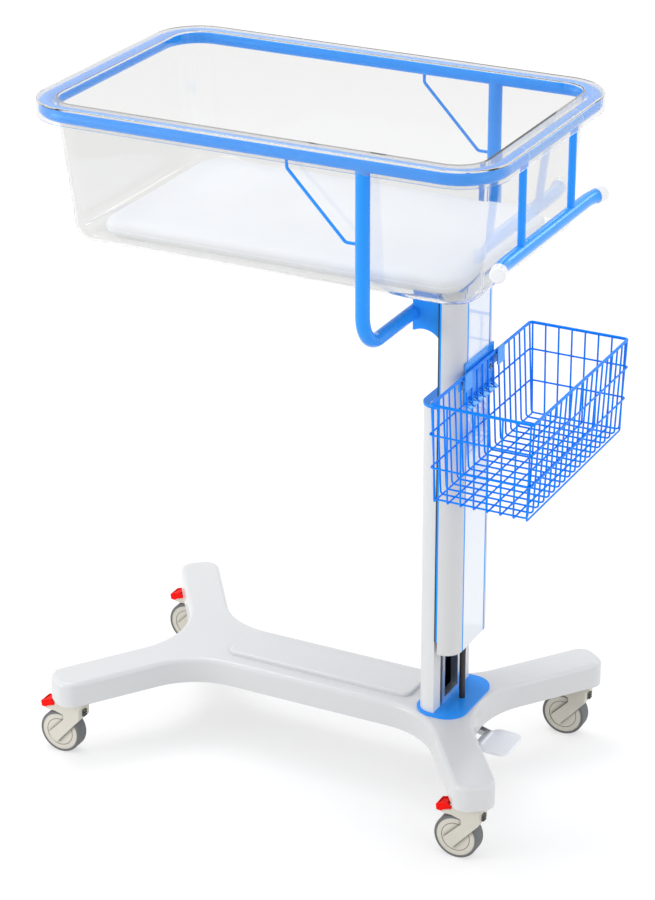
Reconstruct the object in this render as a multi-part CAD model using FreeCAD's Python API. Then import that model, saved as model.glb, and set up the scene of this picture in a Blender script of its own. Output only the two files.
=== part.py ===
import FreeCAD, Part
import math
import os

# Hospital bassinet: clear tub on a height-adjustable column with a splayed four-caster base.
# Millimetres. +X points to the push-handle end, +Z up, floor at Z = 0, Y = 0 is the long centre plane.
# "Left" is the -Y side, as seen by somebody standing at the push handle.

V = FreeCAD.Vector
UP = V(0, 0, 1)
ALONG_X = V(1, 0, 0)
ALONG_Y = V(0, 1, 0)

# ---------------------------------------------------------------- clearances and fits
touch_gap = 0.3          # a piece that rests on another body
running_gap = 0.05       # radial clearance of pins and wheels that turn
sliding_gap = 0.1        # flat clearance of the lift guides
soft_gap = 0.4           # room left round the mattress

# ---------------------------------------------------------------- heights that carry the rest
inner_top_z = 881.1      # top of the lifting column in its middle setting
inner_bottom_z = 258.1
outer_below_top = 196.0  # fixed column's top under the lifting column's top
outer_top_z = inner_top_z - outer_below_top

# ---------------------------------------------------------------- support ring and tubes
support_x = 173.0        # plane of the yoke tube that carries the ring
ring_tube_d = 22.0
ring_wall = 2.0
yoke_below_top = 45.0    # horizontal run of the yoke under the column's top
yoke_height = 289.5
yoke_z = inner_top_z - yoke_below_top
ring_z = yoke_z + yoke_height
yoke_bend = 55.0
ring_half_width = 235.2  # centre line
ring_far_reach = 566.6
ring_push_reach = 190.0
ring_far_x = support_x - ring_far_reach
ring_push_x = support_x + ring_push_reach
ring_corner = 66.4
ring_joint_y = 101.0     # where the handle section is let into the ring
ring_joint_gap = 1.0
sleeve_length = 60.0

brace_d = 5.0
brace_reach = 123.9
brace_height = 123.7
brace_top_x = support_x - brace_reach
brace_bottom_z = ring_z - brace_height
brace_drop = 13.0
brace_run = 17.0
brace_bend = 8.0

# ---------------------------------------------------------------- push handle
strut_d = 12.0
strut_y = 94.3
bar_d = 22.0
bar_wall = 2.0
bar_below_ring = 148.9
bar_z = ring_z - bar_below_ring
bar_end_y = 184.0
bar_sweep = 4.8          # the bar's ends turn away from the tub
bar_straight_y = 167.0
bar_bend = 118.0
cap_d = 25.0
cap_length = 21.0
cap_round = 5.0
plug_length = 8.0
plug_room = 0.25         # the plug stays clear of the bend's inside

# ---------------------------------------------------------------- tub and mattress
rim_over_ring = 15.0
rim_under_ring = 11.9
rim_top_z = ring_z + rim_over_ring
rim_lip_z = ring_z - rim_under_ring
rim_reach = 14.0         # from the ring centre line to the outside of the lip
lip_thickness = 2.6
rim_round = 2.0
tub_side_inset = 11.5    # from the ring centre line to the outside of the tub's mouth
tub_end_inset = 17.5
tub_mouth_corner = 52.0
tub_wall = 3.5
tub_over_bracket = 29.0
tub_taper_far = 40.6     # from the ring centre line to the edge of the tub's floor
tub_taper_push = 30.0
tub_taper_side = 24.2
tub_floor_far_x = ring_far_x + tub_taper_far
tub_floor_push_x = ring_push_x - tub_taper_push
tub_floor_half = ring_half_width - tub_taper_side
tub_floor_corner = 50.0
tub_edge_round = 25.0

mattress_room_far = 32.0
mattress_room_push = 30.0
mattress_room_side = 23.0
mattress_far_x = tub_floor_far_x + mattress_room_far
mattress_push_x = tub_floor_push_x - mattress_room_push
mattress_half = tub_floor_half - mattress_room_side
mattress_corner = 45.0
mattress_height = 28.0
mattress_round = 8.0

# ---------------------------------------------------------------- column
outer_offset = 14.0      # from the yoke tube's plane
outer_depth = 32.5
outer_half = 69.0
outer_corner = 26.0
outer_wall = 4.0
outer_slot_half = 43.0
outer_back_x = support_x + outer_offset
outer_front_x = outer_back_x + outer_depth
cap_plate_thickness = 4.0
cap_plate_overhang = 1.0
cap_screw_inset = 13.0
cap_screw_x = outer_front_x - cap_screw_inset
cap_screw_y = 56.4
screw_head_d = 7.0
screw_head_h = 1.6
screw_shank_d = 3.5
screw_shank_length = 12.0

rail_half = 34.0
rail_back = 4.0
rail_mouth_half = 25.0
rail_pocket_half = 30.0
rail_lip = 12.5
rail_pocket_front_x = outer_front_x - rail_lip
rail_foot_height = 8.0

column_gap = 5.5         # between the fixed and the lifting column
inner_depth = 31.5
inner_back_x = outer_front_x + column_gap
inner_front_x = inner_back_x + inner_depth
inner_half = 70.0
inner_corner = 27.0
inner_wall = 3.0
panel_thickness = 3.0
panel_half = 38.5
trim_width = 4.4
rear_trim_depth = 3.0
rear_trim_width = 4.0
rear_trim_rise = 22.0
rear_trim_bottom_z = inner_bottom_z + rear_trim_rise

guide_length = 60.0
guide_rise_low = 13.0
guide_rise_high = 208.0
guide_low_z = inner_bottom_z + guide_rise_low
guide_high_z = inner_bottom_z + guide_rise_high

spring_inset = 14.2      # from the back of the lifting column
spring_x = inner_back_x + spring_inset
spring_rod_d = 10.0
spring_body_d = 20.0
spring_body_wall = 2.0
spring_body_rise = 8.0
spring_body_length = 350.0
spring_body_bottom_z = inner_bottom_z + spring_body_rise
spring_body_top_z = spring_body_bottom_z + spring_body_length
spring_rod_inside = 210.0
spring_rod_top_z = spring_body_bottom_z + spring_rod_inside
anchor_thickness = 6.0

# ---------------------------------------------------------------- yoke bracket on the inner column
bracket_half = 62.5
bracket_plate = 4.0
gusset_thickness = 5.0
gusset_rear_x = support_x
gusset_low_drop = 28.5
gusset_arc_drop = 24.7
gusset_heel_drop = 42.0
gusset_low_z = yoke_z - gusset_low_drop
gusset_arc_z = yoke_z - gusset_arc_drop
gusset_heel_z = yoke_z - gusset_heel_drop
gusset_arc_start = 3.0
gusset_arc_middle = 18.0
tub_bottom_z = inner_top_z + bracket_plate + tub_over_bracket

# ---------------------------------------------------------------- hanger and basket
basket_below_top = 134.0
basket_depth = 158.0
basket_top_z = inner_top_z - basket_below_top
basket_bottom_z = basket_top_z - basket_depth
basket_standoff = 6.5    # top frame's centre line in front of the panel
basket_width = 167.0
basket_rear_x = inner_front_x + basket_standoff
basket_front_x = basket_rear_x + basket_width
basket_half = 187.0
basket_floor_inset_x = 7.5
basket_floor_inset_y = 0.5
basket_wire_spacing = 3.05   # centre to centre where two wires are welded across
basket_edge_wire_x = 4.0     # first long wire, in from the top frame
basket_corner = 6.0
basket_band_corner = 5.0
basket_frame_d = 5.0
basket_wire_d = 3.0
basket_cross_count = 19
basket_long_count = 8
basket_band_fractions = (0.30, 0.64)
basket_bend = 6.0        # lower corners of the cross wires

hanger_half = 52.0
hanger_thickness = 3.0
hanger_over_basket = 15.0
hanger_under_basket = 51.0
hanger_top_z = basket_top_z + hanger_over_basket
hanger_bottom_z = basket_top_z - hanger_under_basket
hook_inner_y = 48.0
hook_outer_y = 74.0
hook_plate = 2.0
hook_drop = 23.0
hook_rise = 6.0
hook_bottom_z = basket_top_z - hook_drop
hook_top_z = basket_top_z + hook_rise
bolt_y = 41.0
bolt_z = hook_bottom_z
bolt_head_d = 8.0
bolt_head_h = 2.4
bolt_shank_d = 4.0
hook_play = 1.0          # room in front of the basket's top wire
hook_wire_index = 3      # cross wire that comes down through each hook
hook_slot_half = 2.6
hook_corner = 4.0
tab_count = 6            # bent tongues between the basket's rear wires
tab_width = 14.5
tab_reach = 9.0
tab_drop = 7.0
tab_thickness = 2.5

# ---------------------------------------------------------------- casters
# Outlines are in wheel diameters: (x from the swivel axis, z over the floor, corner radius).
wheel_d = 75.0
caster_half_track = 217.0
push_caster_reach = 184.0
far_caster_reach = 546.0
push_caster_x = support_x + push_caster_reach
far_caster_x = support_x - far_caster_reach
wheel_width = 26.0
tyre_radial = 4.3
tyre_round = 3.0
hub_recess = 0.8
groove_r = 24.0
groove_width = 1.2
groove_depth = 0.8
trail = 22.0
axle_d = 8.0
axle_half_length = 15.5
fork_slot_half = 13.3
fork_half = 17.0
fork_slot_clear = 3.5
fork_top = 1.34
fork_outline = [(-0.370, 1.050, 0), (-0.595, 1.053, 0.011), (-0.600, 1.085, 0.011),
                (-0.373, 1.165, 0.027), (-0.333, fork_top, 0.027), (0.347, fork_top, 0.027),
                (0.347, 1.290, 0.027), (0.253, 1.190, 0.020), (0.247, 0.930, 0.020),
                (-0.413, 0.180, 0), (-0.627, 0.373, 0), (-0.150, 0.870, 0.040),
                (-0.150, 0.990, 0.053)]
fork_top_z = fork_top * wheel_d
fork_tip_r = 19.5        # arm ends round the axle
fork_tip_reach = 60.0
fork_tip_height = 33.5
stem_d = 12.0
stem_depth = 16.7
stem_flange_d = 40.0
pedal_outline = [(-0.767, 1.187, 0.040), (-0.493, 1.273, 0.013), (-0.373, 1.147, 0.013),
                 (-0.613, 1.040, 0.013), (-0.744, 1.044, 0.020)]
pedal_pocket = [(-0.667, 0.940), (-0.667, 1.140), (-0.520, 1.220), (-0.347, 1.307),
                (-0.347, 0.940)]
pedal_recess = [(-0.720, 1.220), (-0.520, 1.287), (-0.520, 1.249), (-0.720, 1.185)]
pedal_recess_half = 8.0
pedal_pivot = (-0.447, 1.165)
pedal_pin_d = 4.0
pedal_pin_half = 11.6
pedal_lug_half = 10.0
pedal_lug_r = 5.0
pedal_half = 12.0
pedal_well_back = 26.5
pedal_well_depth = 40.0
buffer_half = 5.0
buffer_inner = 17.0
buffer_spine = 20.5
buffer_outer = 23.0
buffer_drop = 27.0       # from the fork's top to the grip's lower edge
buffer_height = 11.0
buffer_ribs = 3

# ---------------------------------------------------------------- base
base_over_fork = 2.1
base_height = 43.5
base_bottom_z = fork_top_z + base_over_fork
base_top_z = base_bottom_z + base_height
base_wall = 4.0
base_round = 8.0
beam_half = 66.0
push_leg_root = 23.4     # where the leg centre lines cross Y = 0
far_leg_root = 394.1
push_leg_root_x = support_x + push_leg_root
far_leg_root_x = support_x - far_leg_root
push_leg_angle = 36.5
far_leg_angle = 35.0
leg_half = 34.0
leg_end_past_axis = 33.0
leg_end_round = 25.0
push_notch_round = 150.0
far_notch_round = 138.0
beam_fillet = 130.0
pad_far_reach = 352.0
pad_push_reach = 12.0
pad_far_x = support_x - pad_far_reach
pad_push_x = support_x - pad_push_reach
pad_half = 38.0
pad_height = 7.0
pad_corner = 14.0

frame_half = 24.0
frame_recess = 7.0
frame_bottom_z = base_bottom_z + frame_recess
frame_end_past_axis = 10.0

foot_offset = 8.0
foot_length = 86.0
foot_far_x = support_x + foot_offset
foot_push_x = foot_far_x + foot_length
foot_half = 77.0
foot_corner = 36.0
foot_thickness = 3.0

# ---------------------------------------------------------------- height-release pedal
release_reach = 72.0
release_below_base = 15.5
release_pivot_x = support_x + release_reach
release_pivot_z = base_bottom_z - release_below_base
release_pin_d = 6.0
release_boss_r = 6.0
release_plate_start = 38.0
release_plate_length = 53.0
release_far_x = release_pivot_x + release_plate_start
release_push_x = release_far_x + release_plate_length
release_half = 38.0
release_corner = 15.0
release_plate_drop = 19.0
release_top_z = base_bottom_z - release_plate_drop
release_thickness = 4.0
release_arm_half = 26.0
release_arm_depth = 4.0
release_arm_length = 58.0
release_arm_x = release_pivot_x + release_arm_length
release_window_half = 15.0
release_window_start = 10.0
release_window_length = 20.0
release_edge_round = 1.5
release_lip_width = 3.0
release_lip_height = 3.0
cheek_thickness = 3.0
cheek_gap = 0.3
cheek_reach = 10.0
cheek_corner = 3.0

os.makedirs("parts", exist_ok=True)
shapes = {}


def add(name, shape):
    """Keep one finished piece under its node name."""
    shapes[name] = shape


def group(pieces):
    """Several separate solids that share one node."""
    return Part.makeCompound(pieces)


def mirrored(shape):
    """The same piece on the other side of the long centre plane."""
    return shape.mirror(V(0, 0, 0), ALONG_Y)


def both_sides(shape):
    return group([shape, mirrored(shape)])


def box(x0, x1, y0, y1, z0, z1):
    return Part.makeBox(x1 - x0, y1 - y0, z1 - z0, V(x0, y0, z0))


def post(x, y, z0, z1, radius):
    return Part.makeCylinder(radius, z1 - z0, V(x, y, z0), UP)


def pin_y(x, z, y0, y1, radius):
    return Part.makeCylinder(radius, y1 - y0, V(x, y0, z), ALONG_Y)


def rounded_wire(corners, closed=True):
    """Wire through (point, corner radius) pairs, each corner turned into a tangent arc."""
    count = len(corners)
    edges = []
    last = None
    first = None
    for i, (point, radius) in enumerate(corners):
        is_end = not closed and i in (0, count - 1)
        if is_end or radius <= 0:
            start = point
            finish = point
        else:
            before = (corners[i - 1][0] - point).normalize()
            after = (corners[(i + 1) % count][0] - point).normalize()
            half_angle = math.acos(max(-1.0, min(1.0, before.dot(after)))) / 2
            reach = radius / math.tan(half_angle)
            start = point + before * reach
            finish = point + after * reach
            inward = (before + after).normalize()
            centre = point + inward * (radius / math.sin(half_angle))
            middle = centre - inward * radius
        if last is not None and last.distanceToPoint(start) > 1e-6:
            edges.append(Part.makeLine(last, start))
        if not is_end and radius > 0:
            edges.append(Part.Arc(start, middle, finish).toShape())
        if first is None:
            first = start
        last = finish
    if closed and last.distanceToPoint(first) > 1e-6:
        edges.append(Part.makeLine(last, first))
    return Part.Wire(edges)


def rectangle_wire(x0, x1, half, radius, z):
    corners = [V(x0, -half, z), V(x1, -half, z), V(x1, half, z), V(x0, half, z)]
    return rounded_wire([(corner, radius) for corner in corners])


def rounded_block(x0, x1, half, radius, z0, z1):
    return Part.Face(rectangle_wire(x0, x1, half, radius, z0)).extrude(V(0, 0, z1 - z0))


def plan_block(corners, z0, z1):
    """Vertical prism over an outline given as (x, y, radius) corners."""
    wire = rounded_wire([(V(x, y, z0), radius) for x, y, radius in corners])
    return Part.Face(wire).extrude(V(0, 0, z1 - z0))


def side_block(corners, y0, y1):
    """Prism along Y over a side-view outline given as (x, z, radius) corners."""
    wire = rounded_wire([(V(x, y0, z), radius) for x, z, radius in corners])
    return Part.Face(wire).extrude(V(0, y1 - y0, 0))


def swept(wire, radius):
    """Round bar along a wire that starts on a straight run."""
    start = wire.OrderedEdges[0]
    origin = start.valueAt(start.FirstParameter)
    direction = start.tangentAt(start.FirstParameter)
    profile = Part.Wire([Part.makeCircle(radius, origin, direction)])
    return wire.makePipeShell([profile], True, True)


def bar_between(a, b, radius):
    return Part.makeCylinder(radius, a.distanceToPoint(b), a, b - a)


def offset_ring(distance, z):
    """Outline parallel to the ring centre line, outward for a positive distance."""
    return rectangle_wire(ring_far_x - distance, ring_push_x + distance,
                          ring_half_width + distance, ring_corner + distance, z)


# ---------------------------------------------------------------- support ring
tube_r = ring_tube_d / 2
ring_end_y = ring_joint_y + ring_joint_gap / 2
ring_wire = rounded_wire([
    (V(ring_push_x, ring_end_y, ring_z), 0),
    (V(ring_push_x, ring_half_width, ring_z), ring_corner),
    (V(ring_far_x, ring_half_width, ring_z), ring_corner),
    (V(ring_far_x, -ring_half_width, ring_z), ring_corner),
    (V(ring_push_x, -ring_half_width, ring_z), ring_corner),
    (V(ring_push_x, -ring_end_y, ring_z), 0)], closed=False)
ring_solid = swept(ring_wire, tube_r)
add("ring_tube", ring_solid.cut(swept(ring_wire, tube_r - ring_wall)))

handle_y = ring_joint_y - ring_joint_gap / 2
handle_solid = pin_y(ring_push_x, ring_z, -handle_y, handle_y, tube_r)
handle_bore = pin_y(ring_push_x, ring_z, -handle_y, handle_y, tube_r - ring_wall)
add("handle_top_tube", handle_solid.cut(handle_bore))

sleeve = pin_y(ring_push_x, ring_z, ring_joint_y - sleeve_length / 2,
               ring_joint_y + sleeve_length / 2, tube_r - ring_wall)
collar = pin_y(ring_push_x, ring_z, handle_y, ring_end_y, tube_r)
add("joint_sleeves", both_sides(sleeve.fuse(collar).removeSplitter()))

yoke_wire = rounded_wire([
    (V(support_x, -ring_half_width, ring_z), 0),
    (V(support_x, -ring_half_width, yoke_z), yoke_bend),
    (V(support_x, ring_half_width, yoke_z), yoke_bend),
    (V(support_x, ring_half_width, ring_z), 0)], closed=False)
yoke_solid = swept(yoke_wire, tube_r)
yoke_tube = yoke_solid.cut(swept(yoke_wire, tube_r - ring_wall)).cut(ring_solid)
add("yoke_tube", max(yoke_tube.Solids, key=lambda solid: solid.Volume))

brace_wire = rounded_wire([
    (V(brace_top_x, -ring_half_width, ring_z), 0),
    (V(brace_top_x, -ring_half_width, ring_z - tube_r - brace_drop), brace_bend),
    (V(support_x - tube_r - brace_run, -ring_half_width, brace_bottom_z), brace_bend),
    (V(support_x, -ring_half_width, brace_bottom_z), 0)], closed=False)
brace = swept(brace_wire, brace_d / 2).cut(ring_solid).cut(yoke_solid)
brace = max(brace.Solids, key=lambda solid: solid.Volume)
add("brace_rods", both_sides(brace))

# ---------------------------------------------------------------- push handle
bar_wire = rounded_wire([
    (V(ring_push_x + bar_sweep, -bar_end_y, bar_z), 0),
    (V(ring_push_x, -bar_straight_y, bar_z), bar_bend),
    (V(ring_push_x, bar_straight_y, bar_z), bar_bend),
    (V(ring_push_x + bar_sweep, bar_end_y, bar_z), 0)], closed=False)
bar_solid = swept(bar_wire, bar_d / 2)
add("push_bar", bar_solid.cut(swept(bar_wire, bar_d / 2 - bar_wall)))

strut = post(ring_push_x, -strut_y, bar_z, ring_z, strut_d / 2)
strut = max(strut.cut(handle_solid).cut(bar_solid).Solids, key=lambda solid: solid.Volume)
add("handle_struts", both_sides(strut))

bar_end = V(ring_push_x + bar_sweep, -bar_end_y, bar_z)
bar_direction = (bar_end - V(ring_push_x, -bar_straight_y, bar_z)).normalize()
cap_body = bar_between(bar_end, bar_end + bar_direction * cap_length, cap_d / 2)
cap_edges = [edge for edge in cap_body.Edges
             if abs((edge.CenterOfMass - bar_end).dot(bar_direction) - cap_length) < 0.01]
cap_body = cap_body.makeFillet(cap_round, cap_edges)
cap_plug = bar_between(bar_end - bar_direction * plug_length, bar_end,
                       bar_d / 2 - bar_wall - plug_room)
add("bar_caps", both_sides(cap_body.fuse(cap_plug).removeSplitter()))

# ---------------------------------------------------------------- tub
def tub_solid(inset, floor_z, edge_round):
    """Tapered tub form; inset 0 is the outside, tub_wall the inside."""
    top_wire = rectangle_wire(ring_far_x + tub_end_inset + inset,
                              ring_push_x - tub_end_inset - inset,
                              ring_half_width - tub_side_inset - inset,
                              tub_mouth_corner - inset, rim_top_z)
    floor_wire = rectangle_wire(tub_floor_far_x + inset, tub_floor_push_x - inset,
                                tub_floor_half - inset, tub_floor_corner - inset, floor_z)
    form = Part.makeLoft([floor_wire, top_wire], True, True)
    low_edges = [edge for edge in form.Edges
                 if edge.BoundBox.ZMax < floor_z + 0.01]
    return form.makeFillet(edge_round, low_edges)


tub_outside = tub_solid(0, tub_bottom_z, tub_edge_round)
tub_inside = tub_solid(tub_wall, tub_bottom_z + tub_wall, tub_edge_round - tub_wall)
rim = Part.Face(offset_ring(rim_reach, rim_lip_z)).extrude(V(0, 0, rim_top_z - rim_lip_z))
rim_top_edges = [edge for edge in rim.Edges if edge.BoundBox.ZMin > rim_top_z - 0.01]
rim = rim.makeFillet(rim_round, rim_top_edges)
channel_top_z = ring_z + tube_r + touch_gap
channel = Part.Face(offset_ring(rim_reach - lip_thickness, rim_lip_z)).extrude(
    V(0, 0, channel_top_z - rim_lip_z))
tub = rim.cut(channel).fuse(tub_outside).cut(tub_inside).removeSplitter()
add("tub", tub.Solids[0])

mattress_z = tub_bottom_z + tub_wall + soft_gap
mattress = rounded_block(mattress_far_x, mattress_push_x, mattress_half, mattress_corner,
                         mattress_z, mattress_z + mattress_height)
flat_edges = [edge for edge in mattress.Edges
              if edge.BoundBox.ZMax - edge.BoundBox.ZMin < 0.01]
add("mattress", mattress.makeFillet(mattress_round, flat_edges))

# ---------------------------------------------------------------- fixed column
foot_top_z = base_top_z + foot_thickness


def column_outline(x0, x1, half, radius, z):
    """Column section rounded on its far side only."""
    return rounded_wire([(V(x1, -half, z), 0), (V(x1, half, z), 0),
                         (V(x0, half, z), radius), (V(x0, -half, z), radius)])


outer_height = outer_top_z - foot_top_z
outer = Part.Face(column_outline(outer_back_x, outer_front_x, outer_half, outer_corner,
                                 foot_top_z)).extrude(V(0, 0, outer_height))
outer_hollow = Part.Face(column_outline(
    outer_back_x + outer_wall, outer_front_x - outer_wall, outer_half - outer_wall,
    outer_corner - outer_wall, foot_top_z)).extrude(V(0, 0, outer_height))
outer_slot = box(outer_front_x - outer_wall, outer_front_x, -outer_slot_half, outer_slot_half,
                 foot_top_z, outer_top_z)
add("outer_column", outer.cut(outer_hollow).cut(outer_slot))

rail_x0 = outer_back_x + outer_wall
rail = box(rail_x0, outer_front_x, -rail_half, rail_half, foot_top_z, outer_top_z)
rail_slot_z = foot_top_z + rail_foot_height
rail = rail.cut(box(rail_pocket_front_x, outer_front_x, -rail_mouth_half, rail_mouth_half,
                    rail_slot_z, outer_top_z))
rail = rail.cut(box(rail_x0 + rail_back, rail_pocket_front_x, -rail_pocket_half,
                    rail_pocket_half, rail_slot_z, outer_top_z))
add("column_rail", rail)

cap_top_z = outer_top_z + cap_plate_thickness
cap_plate = Part.Face(column_outline(
    outer_back_x - cap_plate_overhang, outer_front_x, outer_half + cap_plate_overhang,
    outer_corner + cap_plate_overhang, outer_top_z)).extrude(V(0, 0, cap_plate_thickness))
cap_shank = post(cap_screw_x, -cap_screw_y, cap_top_z - screw_shank_length, cap_top_z,
                 screw_shank_d / 2)
cap_plate = cap_plate.cut(cap_shank).cut(mirrored(cap_shank))
add("column_cap", cap_plate)
cap_head = post(cap_screw_x, -cap_screw_y, cap_top_z, cap_top_z + screw_head_h,
                screw_head_d / 2)
add("cap_screws", both_sides(cap_shank.fuse(cap_head).removeSplitter()))

add("foot_plate", rounded_block(foot_far_x, foot_push_x, foot_half, foot_corner,
                                base_top_z, foot_top_z))
add("spring_rod", post(spring_x, 0, foot_top_z, spring_rod_top_z, spring_rod_d / 2))

# ---------------------------------------------------------------- lifting column
inner_height = inner_top_z - inner_bottom_z


def inner_section(x0, x1, half, radius, z):
    """Column section rounded on its push side only."""
    return rounded_wire([(V(x0, half, z), 0), (V(x0, -half, z), 0),
                         (V(x1, -half, z), radius), (V(x1, half, z), radius)])


panel_x0 = inner_front_x - panel_thickness
groove_half = panel_half + trim_width
inner = Part.Face(inner_section(inner_back_x, inner_front_x, inner_half, inner_corner,
                                inner_bottom_z)).extrude(V(0, 0, inner_height))
inner_hollow = Part.Face(inner_section(
    inner_back_x + inner_wall, inner_front_x - inner_wall, inner_half - inner_wall,
    inner_corner - inner_wall, inner_bottom_z)).extrude(V(0, 0, inner_height))
inner_hollow = inner_hollow.cut(box(panel_x0 - inner_wall, inner_front_x,
                                    -groove_half - inner_wall, groove_half + inner_wall,
                                    inner_bottom_z, inner_top_z))
inner = inner.cut(inner_hollow)
inner = inner.cut(box(panel_x0, inner_front_x, -groove_half, groove_half,
                      inner_bottom_z, inner_top_z))
add("inner_column", inner)
add("front_panel", box(panel_x0, inner_front_x, -panel_half, panel_half,
                       inner_bottom_z, inner_top_z))
front_trim = box(panel_x0, inner_front_x, panel_half, groove_half, inner_bottom_z, inner_top_z)
rear_trim = box(inner_back_x - rear_trim_depth, inner_back_x, inner_half - rear_trim_width,
                inner_half, rear_trim_bottom_z, inner_top_z)
add("trim_strips", group([front_trim, mirrored(front_trim), rear_trim, mirrored(rear_trim)]))
add("gap_seals", both_sides(box(outer_front_x + touch_gap, inner_back_x - rear_trim_depth,
                                inner_half - rear_trim_width, inner_half,
                                rear_trim_bottom_z, inner_top_z)))


def guide_block(z):
    """T-shaped plastic shoe that runs in the rail."""
    head = box(rail_x0 + rail_back + sliding_gap, rail_pocket_front_x - sliding_gap,
               -rail_pocket_half + sliding_gap, rail_pocket_half - sliding_gap,
               z, z + guide_length)
    neck = box(rail_pocket_front_x - sliding_gap, inner_back_x,
               -rail_mouth_half + sliding_gap, rail_mouth_half - sliding_gap,
               z, z + guide_length)
    return head.fuse(neck).removeSplitter()


add("guide_blocks", group([guide_block(guide_low_z), guide_block(guide_high_z)]))

spring_body = post(spring_x, 0, spring_body_bottom_z, spring_body_top_z, spring_body_d / 2)
spring_body = spring_body.cut(post(spring_x, 0, spring_body_bottom_z,
                                   spring_body_top_z - spring_body_wall * 2,
                                   spring_rod_d / 2 + running_gap))
add("spring_body", spring_body)
add("spring_anchor", box(inner_back_x + inner_wall, panel_x0 - inner_wall,
                         -inner_half + inner_wall, inner_half - inner_wall,
                         spring_body_top_z, spring_body_top_z + anchor_thickness)
    .common(inner_hollow))

# ---------------------------------------------------------------- yoke bracket
gusset_push_x = inner_back_x - bracket_plate


def gusset(y0):
    """Side plate with a hollowed lower edge, notched round the yoke tube."""
    low = V(gusset_rear_x, y0, gusset_low_z)
    arc_start = V(gusset_rear_x + gusset_arc_start, y0, gusset_low_z)
    arc_middle = V(gusset_rear_x + gusset_arc_middle, y0, gusset_arc_z)
    heel = V(gusset_push_x, y0, gusset_heel_z)
    top_push = V(gusset_push_x, y0, inner_top_z)
    top_far = V(gusset_rear_x, y0, inner_top_z)
    wire = Part.Wire([Part.makeLine(low, arc_start),
                      Part.Arc(arc_start, arc_middle, heel).toShape(),
                      Part.makeLine(heel, top_push), Part.makeLine(top_push, top_far),
                      Part.makeLine(top_far, low)])
    return Part.Face(wire).extrude(V(0, gusset_thickness, 0))


gussets = gusset(-bracket_half).fuse(gusset(bracket_half - gusset_thickness))
back_plate = box(gusset_push_x, inner_back_x, -bracket_half, bracket_half,
                 gusset_heel_z, inner_top_z)
top_plate = box(gusset_rear_x, inner_front_x, -bracket_half, bracket_half,
                inner_top_z, inner_top_z + bracket_plate)
bracket = gussets.fuse(back_plate).fuse(top_plate).removeSplitter().cut(yoke_solid)
add("yoke_bracket", max(bracket.Solids, key=lambda solid: solid.Volume))

# ---------------------------------------------------------------- basket hanger
hanger_front_x = inner_front_x + hanger_thickness
frame_r = basket_frame_d / 2
wire_r = basket_wire_d / 2
hook_front_x = basket_rear_x + frame_r + hook_play
hook_seat_z = basket_top_z - frame_r - touch_gap
wire_pitch = (2 * (basket_half - basket_floor_inset_y - basket_wire_spacing)
              / (basket_cross_count - 1))
hanger = box(inner_front_x, hanger_front_x, -hanger_half, hanger_half,
             hanger_bottom_z, hanger_top_z)
hook_arm = box(inner_front_x, hanger_front_x, hanger_half, hook_outer_y,
               hook_bottom_z, hook_seat_z)
hook_seat = box(hanger_front_x, hook_front_x + hook_plate, hook_inner_y, hook_outer_y,
                hook_seat_z - hook_plate, hook_seat_z)
hook_ear = box(hook_front_x, hook_front_x + hook_plate, hook_inner_y, hook_outer_y,
               hook_bottom_z, hook_top_z)
hook_corners = [edge for edge in hook_ear.Edges if edge.BoundBox.XLength > hook_plate - 0.01]
hook_ear = hook_ear.makeFillet(hook_corner, hook_corners)
hook_wire_y = hook_wire_index * wire_pitch
wire_slot = box(hanger_front_x, hook_front_x, hook_wire_y - hook_slot_half,
                hook_wire_y + hook_slot_half, hook_bottom_z, hook_seat_z)
hook = hook_arm.fuse(hook_seat.cut(wire_slot)).fuse(hook_ear)
hanger = hanger.fuse(hook).fuse(mirrored(hook))
tab_side = [(inner_front_x, hanger_bottom_z, 0), (hanger_front_x, hanger_bottom_z, 0),
            (hanger_front_x + tab_reach, hanger_bottom_z - tab_drop, 0),
            (hanger_front_x + tab_reach, hanger_bottom_z - tab_drop - tab_thickness, 0),
            (inner_front_x, hanger_bottom_z - tab_thickness, 0)]
for k in range(tab_count):
    tab_y = (k - (tab_count - 1) / 2) * wire_pitch
    hanger = hanger.fuse(side_block(tab_side, max(tab_y - tab_width / 2, -hanger_half),
                                    min(tab_y + tab_width / 2, hanger_half)))
hanger = hanger.removeSplitter()
bolt_shank = Part.makeCylinder(bolt_shank_d / 2, hanger_thickness,
                               V(inner_front_x, -bolt_y, bolt_z), ALONG_X)
hanger = hanger.cut(bolt_shank).cut(mirrored(bolt_shank))
add("hanger_plate", hanger)
bolt_head = Part.makeCylinder(bolt_head_d / 2, bolt_head_h,
                              V(hanger_front_x, -bolt_y, bolt_z), ALONG_X)
add("hanger_bolts", both_sides(bolt_shank.fuse(bolt_head).removeSplitter()))

# ---------------------------------------------------------------- wire basket
basket_height = basket_top_z - basket_bottom_z
lean_x = basket_floor_inset_x / (basket_height - basket_wire_spacing)
lean_y = basket_floor_inset_y / basket_height


def basket_loop(z, outward, radius, bar_radius):
    """Closed rectangular hoop at height z, moved outward from the wall plane."""
    drop = basket_top_z - z
    x0 = basket_rear_x + lean_x * drop - outward
    x1 = basket_front_x - lean_x * drop + outward
    half = basket_half - lean_y * drop + outward
    middle = (x0 + x1) / 2
    path = rounded_wire([(V(middle, -half, z), 0), (V(x1, -half, z), radius),
                         (V(x1, half, z), radius), (V(x0, half, z), radius),
                         (V(x0, -half, z), radius), (V(middle, -half, z), 0)], closed=False)
    return swept(path, bar_radius)


frame_solid = basket_loop(basket_top_z, 0, basket_corner, frame_r)
bands = [basket_loop(basket_top_z - share * basket_height, basket_wire_spacing,
                     basket_band_corner, wire_r) for share in basket_band_fractions]
add("basket_hoops", group([frame_solid] + bands))

floor_far_x = basket_rear_x + basket_floor_inset_x
floor_push_x = basket_front_x - basket_floor_inset_x
floor_half = basket_half - basket_floor_inset_y
cross_half = floor_half - basket_wire_spacing


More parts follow.
